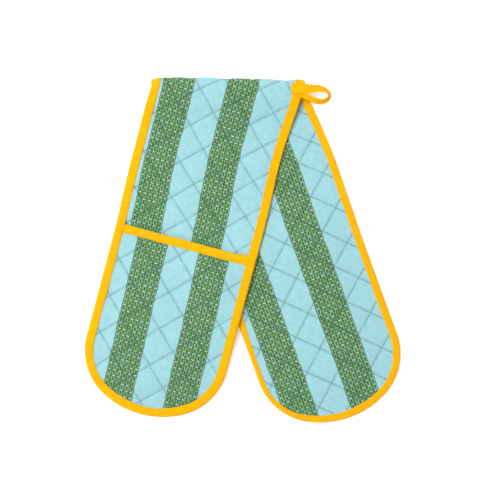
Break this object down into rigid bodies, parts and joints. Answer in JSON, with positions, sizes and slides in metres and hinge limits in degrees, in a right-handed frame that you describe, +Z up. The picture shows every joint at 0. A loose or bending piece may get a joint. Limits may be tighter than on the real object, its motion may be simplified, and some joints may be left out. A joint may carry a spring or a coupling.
{
  "type": "double oven glove",
  "caption": "Quilted double oven glove, folded across its middle, with a round hand pocket at each end, bound edges and a hanging loop.",
  "frame": {"origin": "on the table under the middle of the folded glove's box", "axes": "+Z up from the table, +Y towards the fold, X along the fold line with the hanging loop at +X"},
  "size_m": [0.3896, 0.4286, 0.0243],
  "materials": {
    "striped_waffle_cotton": "matt quilted cotton, aqua plain weave with green waffle-weave stripes",
    "yellow_tape": "golden yellow cotton bias tape, slight sheen",
    "wadding": "off-white needled cotton wadding",
    "lining_cloth": "plain unbleached cotton lining",
    "seam_allowance": "stacked raw edges of cloth and wadding"
  },
  "bodies": {
    "lower_leg": {"lower_back_fabric": "striped_waffle_cotton", "lower_wadding": "wadding", "lower_front_fabric": "striped_waffle_cotton", "lower_edge_binding": "yellow_tape", "lower_pocket_margin": "seam_allowance", "fold_back_fabric": "striped_waffle_cotton", "fold_wadding": "wadding", "fold_front_fabric": "striped_waffle_cotton", "fold_binding_left": "yellow_tape", "fold_binding_right": "yellow_tape"},
    "upper_leg": {"upper_back_fabric": "striped_waffle_cotton", "upper_wadding": "wadding", "upper_front_fabric": "striped_waffle_cotton", "upper_edge_binding": "yellow_tape", "upper_pocket_margin": "seam_allowance", "loop_sewn_ends": "yellow_tape"},
    "upper_pocket": {"upper_pocket_outer_fabric": "striped_waffle_cotton", "upper_pocket_wadding": "wadding", "upper_pocket_lining": "lining_cloth", "upper_pocket_hem": "yellow_tape"},
    "lower_pocket": {"lower_pocket_outer_fabric": "striped_waffle_cotton", "lower_pocket_wadding": "wadding", "lower_pocket_lining": "lining_cloth", "lower_pocket_hem": "yellow_tape"},
    "loop": {"hanging_loop": "yellow_tape"}
  },
  "joints": [
    {"name": "centre_fold", "type": "hinge", "parent": "lower_leg", "child": "upper_leg", "pos_m": [-0.00239, 0.20955, 0.01215], "axis": [-1, 0, 0], "range_deg": [0, 180], "deforming": ["fold_back_fabric", "fold_wadding", "fold_front_fabric", "fold_binding_left", "fold_binding_right"]},
    {"name": "upper_pocket_mouth", "type": "hinge", "parent": "upper_leg", "child": "upper_pocket", "pos_m": [-0.12548, -0.18321, 0.0243], "axis": [0.9542, -0.299, 0], "range_deg": [0, 8]},
    {"name": "lower_pocket_mouth", "type": "hinge", "parent": "lower_leg", "child": "lower_pocket", "pos_m": [0.12548, -0.19848, 0], "axis": [-0.9542, -0.299, 0], "range_deg": [0, 8]},
    {"name": "loop_swing", "type": "hinge", "parent": "upper_leg", "child": "loop", "pos_m": [0.0866, 0.19255, 0.0186], "axis": [-0.299, -0.9542, 0], "range_deg": [0, 90]}
  ]
}
